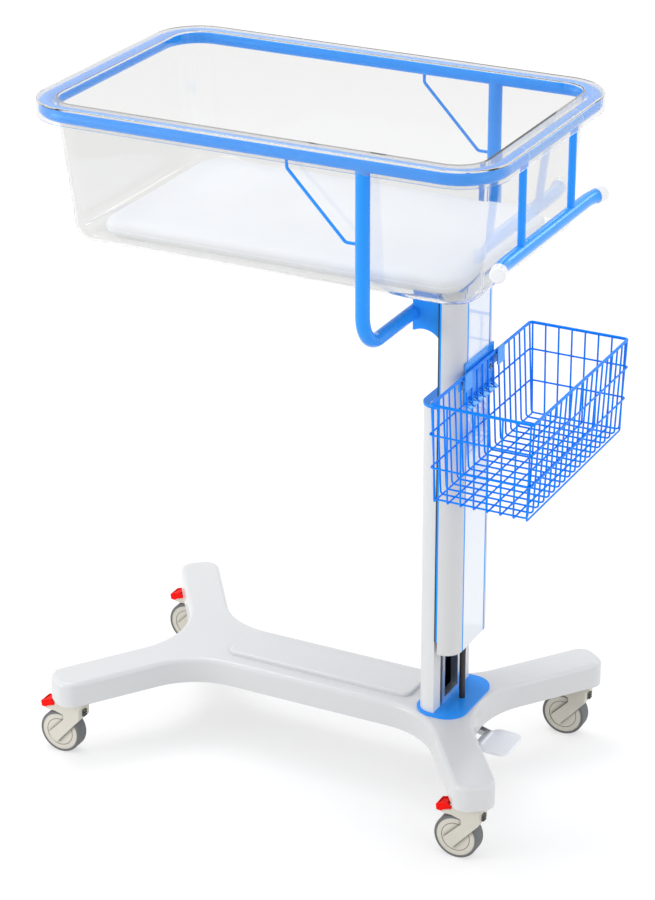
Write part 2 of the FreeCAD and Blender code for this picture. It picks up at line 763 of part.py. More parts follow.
def basket_wire(path):
    """Wire swept along its path and trimmed against the top frame."""
    solid = swept(path, wire_r).cut(frame_solid)
    return max(solid.Solids, key=lambda piece: piece.Volume)


def cross_wire(index):
    """U-shaped wire: down the rear wall, across the floor, up the front wall."""
    y = cross_half * (2 * index / (basket_cross_count - 1) - 1)
    floor_z = basket_bottom_z + basket_wire_spacing
    return basket_wire(rounded_wire([
        (V(basket_rear_x, y, basket_top_z), 0),
        (V(floor_far_x, y, floor_z), basket_bend),
        (V(floor_push_x, y, floor_z), basket_bend),
        (V(basket_front_x, y, basket_top_z), 0)], closed=False))


def long_wire(index):
    """U-shaped wire: down one end wall, along under the cross wires, up the other end wall."""
    share = index / (basket_long_count - 1)
    top_first = basket_rear_x + basket_edge_wire_x
    top_last = basket_front_x - basket_edge_wire_x
    x_top = top_first + share * (top_last - top_first)
    x_low = floor_far_x + share * (floor_push_x - floor_far_x)
    return basket_wire(rounded_wire([
        (V(x_top, -basket_half, basket_top_z), 0),
        (V(x_low, -floor_half, basket_bottom_z), basket_wire_spacing),
        (V(x_low, floor_half, basket_bottom_z), basket_wire_spacing),
        (V(x_top, basket_half, basket_top_z), 0)], closed=False))


add("basket_cross_wires", group([cross_wire(i) for i in range(basket_cross_count)]))
add("basket_long_wires", group([long_wire(i) for i in range(basket_long_count)]))

# ---------------------------------------------------------------- base cover
def leg_line(root_x, angle, toward, side, y):
    """X of a leg's edge line at a given |y|; toward is +1 for the push end, -1 for the far end."""
    run = y * math.tan(math.radians(angle))
    return root_x + toward * run + side * leg_half / math.cos(math.radians(angle))


def leg_end(root_x, caster_x, angle, toward):
    """Two outline corners at the end of a leg on the -Y side: far-side one first."""
    lean = math.radians(angle)
    direction = V(toward * math.sin(lean), -math.cos(lean), 0)
    across = V(math.cos(lean), toward * math.sin(lean), 0)
    root = V(root_x, 0, 0)
    axis_reach = (V(caster_x, -caster_half_track, 0) - root).dot(direction)
    tip = root + direction * (axis_reach + leg_end_past_axis)
    return tip - across * leg_half, tip + across * leg_half


def half_outline():
    """Outline corners (x, y, radius) of the -Y half, from the far notch to the push notch."""
    far_a, far_b = leg_end(far_leg_root_x, far_caster_x, far_leg_angle, -1)
    push_a, push_b = leg_end(push_leg_root_x, push_caster_x, push_leg_angle, 1)
    return [
        (far_a.x, far_a.y, leg_end_round),
        (far_b.x, far_b.y, leg_end_round),
        (leg_line(far_leg_root_x, far_leg_angle, -1, 1, beam_half), -beam_half, beam_fillet),
        (leg_line(push_leg_root_x, push_leg_angle, 1, -1, beam_half), -beam_half, beam_fillet),
        (push_a.x, push_a.y, leg_end_round),
        (push_b.x, push_b.y, leg_end_round)]


lower_half = half_outline()
upper_half = [(x, -y, radius) for x, y, radius in reversed(lower_half)]
far_notch_x = leg_line(far_leg_root_x, far_leg_angle, -1, -1, 0)
push_notch_x = leg_line(push_leg_root_x, push_leg_angle, 1, 1, 0)
base_outline = ([(far_notch_x, 0, far_notch_round)] + lower_half
                + [(push_notch_x, 0, push_notch_round)] + upper_half)
cover = plan_block(base_outline, base_bottom_z, base_top_z)
cover_top_edges = [edge for edge in cover.Edges if edge.BoundBox.ZMin > base_top_z - 0.01]
cover = cover.makeFillet(base_round, cover_top_edges)
hollow_wire = rounded_wire([(V(x, y, base_bottom_z), radius) for x, y, radius in base_outline])
hollow_wire = hollow_wire.makeOffset2D(-base_wall)
hollow_height = base_top_z - base_wall - base_bottom_z
cover_hollow = Part.Face(hollow_wire).extrude(V(0, 0, hollow_height))
hollow_top_edges = [edge for edge in cover_hollow.Edges
                    if edge.BoundBox.ZMin > base_bottom_z + hollow_height - 0.01]
cover_hollow = cover_hollow.makeFillet(base_round - base_wall, hollow_top_edges)
cover = cover.cut(cover_hollow)
pad = rounded_block(pad_far_x, pad_push_x, pad_half, pad_corner, base_top_z - base_wall / 2,
                    base_top_z + pad_height)
pad_top_edges = [edge for edge in pad.Edges
                 if edge.BoundBox.ZMin > base_top_z + pad_height - 0.01]
pad = pad.makeFillet(pad_height / 2, pad_top_edges)
add("base_cover", cover.fuse(pad).removeSplitter())

# ---------------------------------------------------------------- hidden steel frame
frame_top_z = base_top_z - base_wall


def frame_leg(root_x, caster_x, angle, toward):
    """Box tube from the beam to just past a caster."""
    lean = math.radians(angle)
    direction = V(toward * math.sin(lean), -math.cos(lean), 0)
    across = V(math.cos(lean), toward * math.sin(lean), 0)
    root = V(root_x, 0, frame_bottom_z)
    reach = (V(caster_x, -caster_half_track, 0) - V(root_x, 0, 0)).dot(direction)
    tip = root + direction * (reach + frame_end_past_axis)
    corners = [root - across * frame_half, tip - across * frame_half,
               tip + across * frame_half, root + across * frame_half]
    return Part.Face(Part.makePolygon(corners + [corners[0]])).extrude(
        V(0, 0, frame_top_z - frame_bottom_z))


push_leg = frame_leg(push_leg_root_x, push_caster_x, push_leg_angle, 1)
far_leg = frame_leg(far_leg_root_x, far_caster_x, far_leg_angle, -1)
beam = box(far_leg_root_x, push_leg_root_x + frame_half, -frame_half, frame_half,
           frame_bottom_z, frame_top_z)
frame = beam.fuse([push_leg, mirrored(push_leg), far_leg, mirrored(far_leg)]).removeSplitter()
add("base_frame", frame)

# ---------------------------------------------------------------- height-release pedal
release_bottom_z = release_top_z - release_thickness
boss = pin_y(release_pivot_x, release_pivot_z, -release_arm_half, release_arm_half,
             release_boss_r)
arm = side_block([(release_pivot_x, release_pivot_z - release_boss_r, 0),
                  (release_far_x, release_bottom_z - release_arm_depth, 0),
                  (release_arm_x, release_bottom_z - release_arm_depth, 0),
                  (release_arm_x, release_bottom_z, 0), (release_far_x, release_bottom_z, 0),
                  (release_far_x, release_top_z, 0),
                  (release_pivot_x, release_pivot_z + release_boss_r, 0)],
                 -release_arm_half, release_arm_half)
pedal_bore = pin_y(release_pivot_x, release_pivot_z, -release_arm_half, release_arm_half,
                   release_pin_d / 2 + running_gap)
window_x = release_pivot_x + release_window_start
window = box(window_x, window_x + release_window_length, -release_window_half,
             release_window_half, 0, base_bottom_z)
add("release_arm", boss.fuse(arm).removeSplitter().cut(pedal_bore).cut(window))
release_plate = rounded_block(release_far_x, release_push_x, release_half, release_corner,
                              release_bottom_z, release_top_z)
plate_edges = [edge for edge in release_plate.Edges
               if edge.BoundBox.ZMin > release_top_z - 0.01]
release_plate = release_plate.makeFillet(release_edge_round, plate_edges)
lip_half = release_half - release_corner
release_lip = box(release_far_x, release_far_x + release_lip_width, -lip_half, lip_half,
                  release_bottom_z, release_top_z + release_lip_height)
add("release_pedal", release_plate.fuse(release_lip).removeSplitter())

cheek_y = release_arm_half + cheek_gap
cheek_low_z = release_pivot_z - cheek_reach
cheek = side_block([(release_pivot_x - cheek_reach, cheek_low_z, cheek_corner),
                    (release_pivot_x + cheek_reach, cheek_low_z, cheek_corner),
                    (release_pivot_x + cheek_reach, frame_bottom_z, 0),
                    (release_pivot_x - cheek_reach, frame_bottom_z, 0)],
                   cheek_y, cheek_y + cheek_thickness)
pin_half = cheek_y + cheek_thickness
release_pin = pin_y(release_pivot_x, release_pivot_z, -pin_half, pin_half, release_pin_d / 2)
add("release_bracket", both_sides(cheek.cut(release_pin)))
add("release_pin", release_pin)

# ---------------------------------------------------------------- casters
wheel_r = wheel_d / 2
wheel_half = wheel_width / 2
spindle_z = fork_top_z - stem_depth
pedal_pivot_back = -pedal_pivot[0] * wheel_d
pedal_pivot_z = pedal_pivot[1] * wheel_d
pedal_well_z = fork_top_z - pedal_well_depth
buffer_bottom_z = fork_top_z - buffer_drop
buffer_top_z = buffer_bottom_z + buffer_height


def caster_outline(x, shares):
    """Side-view corners at one caster from an outline in wheel diameters."""
    return [(x + dx * wheel_d, z * wheel_d, radius * wheel_d) for dx, z, radius in shares]


def caster_stem(x, y):
    """Fixed flange and spindle that the fork turns on."""
    flange = post(x, y, fork_top_z + touch_gap, frame_bottom_z, stem_flange_d / 2)
    spindle = post(x, y, spindle_z, fork_top_z + touch_gap, stem_d / 2)
    return flange.fuse(spindle).removeSplitter()


def caster_fork(x, y):
    """Forked housing: side outline, wheel slot, well for the brake pedal and its lug."""
    hub_x = x - trail
    body = side_block(caster_outline(x, fork_outline), y - fork_half, y + fork_half)
    tip_zone = box(x - fork_tip_reach, hub_x, y - fork_half, y + fork_half, 0, fork_tip_height)
    tip_keep = pin_y(hub_x, wheel_r, y - fork_half, y + fork_half, fork_tip_r)
    body = body.cut(tip_zone.cut(tip_keep))
    body = body.cut(pin_y(hub_x, wheel_r, y - fork_slot_half, y + fork_slot_half,
                          wheel_r + fork_slot_clear))
    well = box(x - fork_tip_reach, x - pedal_well_back, y - pedal_half - touch_gap,
               y + pedal_half + touch_gap, pedal_well_z, fork_top_z)
    body = body.cut(well)
    pivot_x = x - pedal_pivot_back
    lug = pin_y(pivot_x, pedal_pivot_z, y - pedal_lug_half, y + pedal_lug_half, pedal_lug_r)
    neck = box(pivot_x, x - pedal_well_back, y - pedal_lug_half, y + pedal_lug_half,
               pedal_pivot_z - pedal_lug_r, pedal_pivot_z + pedal_lug_r)
    body = body.fuse(lug).fuse(neck).removeSplitter()
    return body.cut(post(x, y, spindle_z - touch_gap, fork_top_z, stem_d / 2 + running_gap))


def caster_wheel(hub_x, y):
    """Moulded hub with a ring groove in each face, and the tyre round it."""
    hub_r = wheel_r - tyre_radial
    face = wheel_half - hub_recess
    hub = pin_y(hub_x, wheel_r, y - face, y + face, hub_r)
    hub = hub.cut(pin_y(hub_x, wheel_r, y - face, y + face, axle_d / 2 + running_gap))
    for start in (y - face, y + face - groove_depth):
        groove = pin_y(hub_x, wheel_r, start, start + groove_depth, groove_r + groove_width / 2)
        hub = hub.cut(groove.cut(pin_y(hub_x, wheel_r, start, start + groove_depth,
                                       groove_r - groove_width / 2)))
    tyre = pin_y(hub_x, wheel_r, y - wheel_half, y + wheel_half, wheel_r)
    rim_edges = [edge for edge in tyre.Edges if edge.BoundBox.YLength < 0.01]
    tyre = tyre.makeFillet(tyre_round, rim_edges)
    tyre = tyre.cut(pin_y(hub_x, wheel_r, y - wheel_half, y + wheel_half, hub_r))
    return hub, tyre


def caster_brake(x, y):
    """Brake pedal that straddles the fork's lug and turns on a short pin."""
    pivot_x = x - pedal_pivot_back
    pedal = side_block(caster_outline(x, pedal_outline), y - pedal_half, y + pedal_half)
    pocket = caster_outline(x, [(dx, z, 0) for dx, z in pedal_pocket])
    pocket_half = pedal_lug_half + touch_gap
    pedal = pedal.cut(side_block(pocket, y - pocket_half, y + pocket_half))
    recess = caster_outline(x, [(dx, z, 0) for dx, z in pedal_recess])
    pedal = pedal.cut(side_block(recess, y - pedal_recess_half, y + pedal_recess_half))
    bore_half = pedal_pin_half + sliding_gap
    return pedal.cut(pin_y(pivot_x, pedal_pivot_z, y - bore_half, y + bore_half,
                           pedal_pin_d / 2 + running_gap))


def caster_buffer(x, y):
    """Ribbed grip on the other side of the fork."""
    block = box(x + buffer_inner, x + buffer_outer, y - buffer_half, y + buffer_half,
                buffer_bottom_z, buffer_top_z)
    pitch = (buffer_top_z - buffer_bottom_z) / (buffer_ribs * 2 - 1)
    for k in range(buffer_ribs - 1):
        low = buffer_bottom_z + pitch * (2 * k + 1)
        block = block.cut(box(x + buffer_spine, x + buffer_outer, y - buffer_half,
                              y + buffer_half, low, low + pitch))
    return block


def caster_pieces(x, y):
    """Everything that swivels, trailing toward -X."""
    hub_x = x - trail
    axle = pin_y(hub_x, wheel_r, y - axle_half_length, y + axle_half_length, axle_d / 2)
    pedal_pin = pin_y(x - pedal_pivot_back, pedal_pivot_z, y - pedal_pin_half,
                      y + pedal_pin_half, pedal_pin_d / 2)
    fork = caster_fork(x, y).cut(axle).cut(pedal_pin)
    hub, tyre = caster_wheel(hub_x, y)
    return {"fork": fork, "pins": group([axle, pedal_pin]), "hub": hub, "tyre": tyre,
            "brake": caster_brake(x, y), "buffer": caster_buffer(x, y).cut(fork)}


stems = []
for end, caster_x in (("push", push_caster_x), ("far", far_caster_x)):
    for hand, sign in (("left", -1), ("right", 1)):
        caster_y = sign * caster_half_track
        stems.append(caster_stem(caster_x, caster_y))
        for piece, shape in caster_pieces(caster_x, caster_y).items():
            add("caster_" + end + "_" + hand + "_" + piece, shape)
add("caster_stems", group(stems))

for name, shape in shapes.items():
    shape.exportStep(os.path.join("parts", name + ".step"))
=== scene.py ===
import math

import bpy
from mathutils import Matrix, Vector


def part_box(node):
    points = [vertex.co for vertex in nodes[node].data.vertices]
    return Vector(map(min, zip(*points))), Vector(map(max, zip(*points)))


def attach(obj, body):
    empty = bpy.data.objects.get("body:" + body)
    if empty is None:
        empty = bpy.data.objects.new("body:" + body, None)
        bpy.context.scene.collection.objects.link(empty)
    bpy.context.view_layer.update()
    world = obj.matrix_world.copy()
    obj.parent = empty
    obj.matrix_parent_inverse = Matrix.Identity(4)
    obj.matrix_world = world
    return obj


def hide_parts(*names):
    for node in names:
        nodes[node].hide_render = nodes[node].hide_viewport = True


bl_info = {
    "name": "Hospital Bassinet",
    "version": (1, 0, 0),
    "blender": (4, 5, 0),
    "location": "3D View > Sidebar > Bassinet",
    "description": "Dresses the bassinet's frame with its mattress, finishes and studio",
    "category": "Object",
}

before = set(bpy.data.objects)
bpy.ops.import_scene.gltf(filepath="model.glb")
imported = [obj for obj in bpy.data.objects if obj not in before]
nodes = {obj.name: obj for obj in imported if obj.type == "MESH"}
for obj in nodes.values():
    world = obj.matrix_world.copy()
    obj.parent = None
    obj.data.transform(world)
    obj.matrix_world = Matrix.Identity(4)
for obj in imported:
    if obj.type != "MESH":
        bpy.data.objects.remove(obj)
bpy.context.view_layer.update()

CYAN = (0.30, 0.85, 1.0, 1)  # tint of the blue coats' highlights
CASTERS = [end + "_" + hand for end in ("push", "far") for hand in ("left", "right")]

# Mattress pad, in metres
PAD_CORNER = 0.045  # radius in plan
PAD_RIM = 0.0075  # rounding along its top and bottom
PAD_UNSHADED_SIDE = 0.006  # upper part of its side, above the painted shade that darkens it towards the bottom
SEAM_LEVEL = 0.5  # height of the seam, as a share of the pad's
CLOTH_PRESSURE = 4.0
CLOTH_FRAMES = 20

# Screws
SOCKET_WIDTH = 0.5  # share of the head's radius
SOCKET_DEPTH = 0.6  # share of the head's height
HEAD_BEVEL = 0.12  # share of the head's height

RAIL_SHADE_DEPTH = 0.0128  # behind the rail's front, just past its lips, where the rail's painted shade starts, in metres
TRAPPED_BOUNCES = 5.5  # bounces after which a ray no longer leaves the tub's sheet

# Studio: lamps as name, place, size, watts and share of diffuse light; camera in metres
LAMPS = (
    ("key", (-1.7, 0.9, 4.5), 2.2, 56.0, 1.0),
    ("left", (-3.2, -3.0, 1.5), 2.4, 60.0, 1.0),
    ("right", (4.2, -0.8, 1.8), 2.2, 24.0, 1.0),
    ("rim", (1.6, 3.0, 2.6), 1.1, 9.0, 0.06),
)
LAMP_TARGET = (0.0, 0.0, 0.6)
CAMERA_PLACE = (1.90525, -3.72565, 2.44676)
CAMERA_ANGLES = (27.161, 24.453, -0.196)  # turn, rise and roll, in degrees
CAMERA_LENS = 114.03  # millimetres, on a sensor 36 wide
FLOOR_PAPER = 0.80  # grey of the floor that lights the bassinet from below
FLOOR_GLOW = 0.55  # own light of the floor in the picture
FLOOR_SHADOW = 0.48  # grey of the floor in the picture, which takes the shadow
AMBIENT = 0.86  # strength of the world's light on the bassinet


# ------------------------------------------------------------------ settings
def colour(name, description, default):
    return bpy.props.FloatVectorProperty(
        name=name, description=description, default=default, size=4, min=0.0, max=1.0,
        subtype="COLOR")


def length(name, description, default):
    return bpy.props.FloatProperty(
        name=name, description=description, default=default, min=0.0,
        subtype="DISTANCE", unit="LENGTH")


class BassinetColours(bpy.types.PropertyGroup):
    """Colours of the bassinet's finishes, linear."""

    tube_blue: colour("Tube blue", "Powder coat on ring, yoke, handle and plates",
                      (0.026, 0.30, 0.95, 1))
    ring_blue: colour("Ring blue", "Powder coat on the ring under the tub's rim",
                      (0.002, 0.285, 1.0, 1))
    handle_blue: colour("Handle blue", "Gloss coat on the handle's bars",
                        (0.035, 0.32, 0.95, 1))
    wire_blue: colour("Wire blue", "Dip coat on the basket's wires", (0.0, 0.23, 0.97, 1))
    trim_blue: colour("Trim blue", "Plastic strips on the lifting column", (0.0, 0.33, 0.98, 1))
    shell_white: colour("Shell white", "Moulded base cover", (0.675, 0.678, 0.684, 1))
    # painted light: the pedal is made paler to make up for the shade it sits in under the base
    # cover
    pedal_lit_white: colour("Pedal white", "Plate of the height pedal", (0.90, 0.915, 0.95, 1))
    column_grey: colour("Column grey", "Paint on the lifting column", (0.66, 0.66, 0.66, 1))
    # painted light: a lighter copy of the column paint for the fixed column
    fixed_lit_grey: colour("Fixed column grey", "Paint on the fixed column",
                       (0.72, 0.725, 0.73, 1))
    panel_white: colour("Panel white", "Gloss panel down the front", (0.84, 0.885, 0.93, 1))
    mattress_white: colour("Mattress white", "Coated mattress cover", (0.895, 0.905, 0.915, 1))
    # painted shade: the mattress's side darkens towards its bottom
    mattress_shade_band: colour("Mattress band", "Lower edge of the mattress's side band",
                          (0.66, 0.665, 0.67, 1))
    # painted shade inside the rail, behind its lips
    rail_pocket_shade: colour("Rail pocket", "Inside of the rail's pocket", (0.010, 0.018, 0.045, 1))
    caster_beige: colour("Caster beige", "Forks and hubs", (0.66, 0.63, 0.555, 1))
    tyre_grey: colour("Tyre grey", "Wheel treads", (0.15, 0.155, 0.16, 1))
    brake_red: colour("Brake red", "Brake pedals", (0.95, 0.004, 0.001, 1))


class BassinetSizes(bpy.types.PropertyGroup):
    """Sizes of what is modelled on top of the frame."""

    mattress_crown: length("Mattress crown", "Most that the mattress's cover may swell", 0.004)
    mattress_shrink: length("Mattress start", "How much smaller the pad starts on each side",
                            0.003)
    mattress_voxel: length("Mattress voxel", "Remesh size of the pad", 0.006)
    screw_head: length("Screw head", "Height of the screws' heads", 0.0016)
    seam_width: length("Seam width", "Width of the welded seam round the mattress", 0.0016)


# ------------------------------------------------------------------ material helpers
def new_material(name):
    """Material with its node tree and its Principled shader."""
    material = bpy.data.materials.new(name)
    material.use_nodes = True
    tree = material.node_tree
    return material, tree, tree.nodes["Principled BSDF"]


def object_noise(tree, scale, detail=2.0, stretch=(1, 1, 1)):
    """Noise on the piece's own coordinates, in features per metre."""
    coords = tree.nodes.new("ShaderNodeTexCoord")
    mapping = tree.nodes.new("ShaderNodeMapping")
    mapping.inputs["Scale"].default_value = stretch
    noise = tree.nodes.new("ShaderNodeTexNoise")
    noise.inputs["Scale"].default_value = scale
    noise.inputs["Detail"].default_value = detail
    tree.links.new(coords.outputs["Object"], mapping.inputs["Vector"])
    tree.links.new(mapping.outputs["Vector"], noise.inputs["Vector"])
    return noise.outputs["Fac"]


def spread(tree, value, low, high):
    """Maps a noise value, which mostly lies between 0.3 and 0.7, onto low to high."""
    node = tree.nodes.new("ShaderNodeMapRange")
    node.inputs["From Min"].default_value = 0.3
    node.inputs["From Max"].default_value = 0.7
    node.inputs["To Min"].default_value = low
    node.inputs["To Max"].default_value = high
    tree.links.new(value, node.inputs["Value"])
    return node.outputs["Result"]


def own_axis(tree, axis):
    """One of the piece's own coordinates, in metres."""
    coords = tree.nodes.new("ShaderNodeTexCoord")
    split = tree.nodes.new("ShaderNodeSeparateXYZ")
    tree.links.new(coords.outputs["Object"], split.inputs["Vector"])
    return split.outputs[axis]


def ramp(tree, value, start, end):
    """0 at the start, 1 at the end, clamped."""
    node = tree.nodes.new("ShaderNodeMapRange")
    node.inputs["From Min"].default_value = start
    node.inputs["From Max"].default_value = end
    tree.links.new(value, node.inputs["Value"])
    return node.outputs["Result"]


def repaint(tree, shader, amount, other):
    """Lets another colour take over from the base colour."""
    mix = tree.nodes.new("ShaderNodeMix")
    mix.data_type = "RGBA"
    tree.links.new(amount, mix.inputs["Factor"])
    tree.links.new(shader.inputs["Base Color"].links[0].from_socket, mix.inputs["A"])
    mix.inputs["B"].default_value = other
    tree.links.new(mix.outputs["Result"], shader.inputs["Base Color"])


def tone(tree, value, base, dark, light):
    """Colour that wanders a little round its base value."""
    blend = tree.nodes.new("ShaderNodeMix")
    blend.data_type = "RGBA"
    blend.inputs["A"].default_value = [c * dark for c in base[:3]] + [1]
    blend.inputs["B"].default_value = [min(1.0, c * light) for c in base[:3]] + [1]
    tree.links.new(spread(tree, value, 0.0, 1.0), blend.inputs["Factor"])
    return blend.outputs["Result"]


def painted_crease_shade(tree, paint, reach, touching):
    """Painted shade: darker paint where walls close in, from ambient occlusion, reach in metres;
    touching counts other pieces too.
    """
    gap = tree.nodes.new("ShaderNodeAmbientOcclusion")
    gap.only_local = not touching
    gap.samples = 8
    gap.inputs["Distance"].default_value = reach
    shade = tree.nodes.new("ShaderNodeMix")
    shade.data_type = "RGBA"
    shade.blend_type = "MULTIPLY"
    # colour of the painted shade in closed-in corners
    shade.inputs["B"].default_value = (0.3, 0.29, 0.28, 1)
    shade_mask = ramp(tree, gap.outputs["AO"], 0.95, 0.45)
    tree.links.new(shade_mask, shade.inputs["Factor"])
    tree.links.new(paint, shade.inputs["A"])
    return shade.outputs["Result"]


def grain(tree, shader, value, depth):
    """Fine surface relief, depth in metres."""
    bump = tree.nodes.new("ShaderNodeBump")
    bump.inputs["Distance"].default_value = depth
    bump.inputs["Strength"].default_value = 1.0
    tree.links.new(value, bump.inputs["Height"])
    tree.links.new(bump.outputs["Normal"], shader.inputs["Normal"])


def either(tree, first, second):
    """1 where either of two 0 or 1 values is 1."""
    node = tree.nodes.new("ShaderNodeMath")
    node.operation = "MAXIMUM"
    tree.links.new(first, node.inputs[0])
    tree.links.new(second, node.inputs[1])
    return node.outputs["Value"]


def trapped_ray(tree, bounces):
    """1 for rays that were thrown to and fro inside a clear sheet too often."""
    node = tree.nodes.new("ShaderNodeMath")
    node.operation = "GREATER_THAN"
    node.inputs[1].default_value = bounces
    tree.links.new(tree.nodes.new("ShaderNodeLightPath").outputs["Ray Depth"], node.inputs[0])
    return node.outputs["Value"]


def seen_ray(tree):
    """1 for rays that end in the picture: straight, through the clear tub or mirrored."""
    path = tree.nodes.new("ShaderNodeLightPath").outputs
    return either(tree, either(tree, path["Is Camera Ray"], path["Is Transmission Ray"]),
                  path["Is Glossy Ray"])


def surface(name, base, roughness, metallic=0.0, cloud=6.0, grain_scale=900.0,
            grain_depth=0.00002, vary=0.04, stretch=(1, 1, 1), coat=0.0, specular=0.5,
            crease_shade_reach=0.0, touching=False, sheen=(1, 1, 1, 1)):
    """Solid finish: slight tone drift, uneven gloss, a fine grain and painted shade in creases.
    """
    material, tree, shader = new_material(name)
    drift = object_noise(tree, cloud, 3.0, stretch)
    fine = object_noise(tree, grain_scale, 1.0, stretch)
    paint = tone(tree, drift, base, 1 - vary, 1 + vary)
    # painted shade where walls close in
    if crease_shade_reach:
        paint = painted_crease_shade(tree, paint, crease_shade_reach, touching)
    tree.links.new(paint, shader.inputs["Base Color"])
    tree.links.new(spread(tree, drift, roughness * 0.9, roughness * 1.1),
                   shader.inputs["Roughness"])
    shader.inputs["Metallic"].default_value = metallic
    shader.inputs["Coat Weight"].default_value = coat
    shader.inputs["Coat Roughness"].default_value = 0.08
    shader.inputs["Specular IOR Level"].default_value = specular
    shader.inputs["Specular Tint"].default_value = sheen
    grain(tree, shader, fine, grain_depth)
    return material


def finish_nodes(material, names):
    """Gives CAD nodes a finish."""
    for name in names:
        piece = nodes[name]
        if not piece.material_slots:
            piece.data.materials.append(material)
        for slot in piece.material_slots:
            slot.material = material


def clear_plastic(name, tint, edge, loss, gloss_roughness):
    """Clear moulded sheet: refracts what the camera sees, lets all other light through."""
    material, tree, shader = new_material(name)
    shader.inputs["Base Color"].default_value = tint
    shader.inputs["Transmission Weight"].default_value = 1.0
    shader.inputs["IOR"].default_value = 1.49
    shader.inputs["Specular IOR Level"].default_value = 0.05
    cloud = object_noise(tree, 5.0)
    tree.links.new(spread(tree, cloud, gloss_roughness * 0.7, gloss_roughness * 1.3),
                   shader.inputs["Roughness"])
    path = tree.nodes.new("ShaderNodeLightPath").outputs
    look = shader.outputs["BSDF"]
    unseen = either(tree, path["Is Shadow Ray"], path["Is Diffuse Ray"])
    for amount, stain in ((trapped_ray(tree, TRAPPED_BOUNCES), edge), (unseen, loss)):
        through = tree.nodes.new("ShaderNodeBsdfTransparent")
        through.inputs["Color"].default_value = stain
        mix = tree.nodes.new("ShaderNodeMixShader")
        tree.links.new(amount, mix.inputs["Fac"])
        tree.links.new(look, mix.inputs[1])
        tree.links.new(through.outputs["BSDF"], mix.inputs[2])
        look = mix.outputs["Shader"]
    tree.links.new(look, tree.nodes["Material Output"].inputs["Surface"])
    return material


# ------------------------------------------------------------------ modelling helpers
def deselect():
    """Leaves edit mode with nothing selected."""
    if bpy.context.object and bpy.context.object.mode != "OBJECT":
        bpy.ops.object.mode_set(mode="OBJECT")
    bpy.ops.object.select_all(action="DESELECT")


def block(name, low, high):
    """Box between two corners, its place in its mesh."""
    deselect()
    low, high = Vector(low), Vector(high)
    bpy.ops.mesh.primitive_cube_add(size=1, location=(low + high) / 2)
    piece = bpy.context.object
    piece.name = name
    piece.scale = high - low
    bpy.ops.object.transform_apply(location=True, rotation=True, scale=True)
    return piece


def upright(a, b):
    """Test for pick_edges: one end point well above the other."""
    return abs(a.z - b.z) > 0.01


def level(a, b):
    """Test for pick_edges: both end points at one height."""
    return abs(a.z - b.z) < 1e-5


def pick_edges(piece, wanted):
    """Selects the edges whose two end points pass a test, and goes into edit mode."""
    bpy.context.view_layer.objects.active = piece
    bpy.ops.object.mode_set(mode="EDIT")
    bpy.ops.mesh.select_mode(type="EDGE")
    bpy.ops.mesh.select_all(action="DESELECT")
    bpy.ops.object.mode_set(mode="OBJECT")
    points = piece.data.vertices
    for edge in piece.data.edges:
        a, b = (points[i].co for i in edge.vertices)
        edge.select = bool(wanted(a, b))
    bpy.ops.object.mode_set(mode="EDIT")


def pick_faces(piece, height, facing):
    """Selects the flat faces at a height that look up, 1, or down, -1, and edits them."""
    bpy.ops.object.mode_set(mode="OBJECT")
    for face in piece.data.polygons:
        face.select = face.normal.z * facing > 0.9 and abs(face.center.z - height) < 1e-6
    bpy.ops.object.mode_set(mode="EDIT")
    bpy.ops.mesh.select_mode(type="FACE")


def bead_loop(name, low, high, corner, height, wall, width):
    """Closed bead that follows another piece's side at one height."""
    deselect()
    middle = ((low.x + high.x) / 2, (low.y + high.y) / 2, height)
    bpy.ops.mesh.primitive_plane_add(size=1, location=middle)
    loop = bpy.context.object
    loop.name = name
    loop.scale = (high.x - low.x, high.y - low.y, 1)
    bpy.ops.object.transform_apply(location=True, rotation=True, scale=True)
    bpy.ops.object.mode_set(mode="EDIT")
    bpy.ops.mesh.select_all(action="SELECT")
    bpy.ops.mesh.bevel(offset=corner, segments=16, affect="VERTICES")
    bpy.ops.mesh.select_all(action="SELECT")
    bpy.ops.mesh.delete(type="ONLY_FACE")
    bpy.ops.mesh.select_all(action="SELECT")
    bpy.ops.mesh.subdivide(number_cuts=7)
    bpy.ops.object.mode_set(mode="OBJECT")
    hug = loop.modifiers.new("Shrinkwrap", "SHRINKWRAP")
    hug.target = wall
    bpy.ops.object.modifier_apply(modifier=hug.name)
    bpy.ops.object.convert(target="CURVE")
    loop = bpy.context.object
    loop.data.bevel_depth = width / 2
    loop.data.bevel_resolution = 2
    bpy.ops.object.convert(target="MESH")
    bpy.ops.object.shade_smooth()
    return bpy.context.object


def socket_screw(name, radius, depth, sizes):
    """Screw with a socket in its head and a thinner shank, pointing down from the origin."""
    deselect()
    head = sizes.screw_head
    bpy.ops.mesh.primitive_cylinder_add(vertices=24, radius=radius, depth=head,
                                        location=(0, 0, -head / 2))
    screw = bpy.context.object
    screw.name = name
    bpy.ops.object.transform_apply(location=True, rotation=True, scale=True)
    for height, facing, push in ((0, 1, -head * SOCKET_DEPTH), (-head, -1, head - depth)):
        pick_faces(screw, height, facing)
        bpy.ops.mesh.inset(thickness=radius * SOCKET_WIDTH)
        bpy.ops.mesh.extrude_region_move(TRANSFORM_OT_translate={"value": (0, 0, push)})
        bpy.ops.mesh.select_all(action="DESELECT")
    bpy.ops.object.mode_set(mode="OBJECT")
    bevel = screw.modifiers.new("Bevel", "BEVEL")
    bevel.width = head * HEAD_BEVEL
    bevel.segments = 2
    bevel.limit_method = "ANGLE"
    bpy.ops.object.modifier_apply(modifier=bevel.name)
    return screw


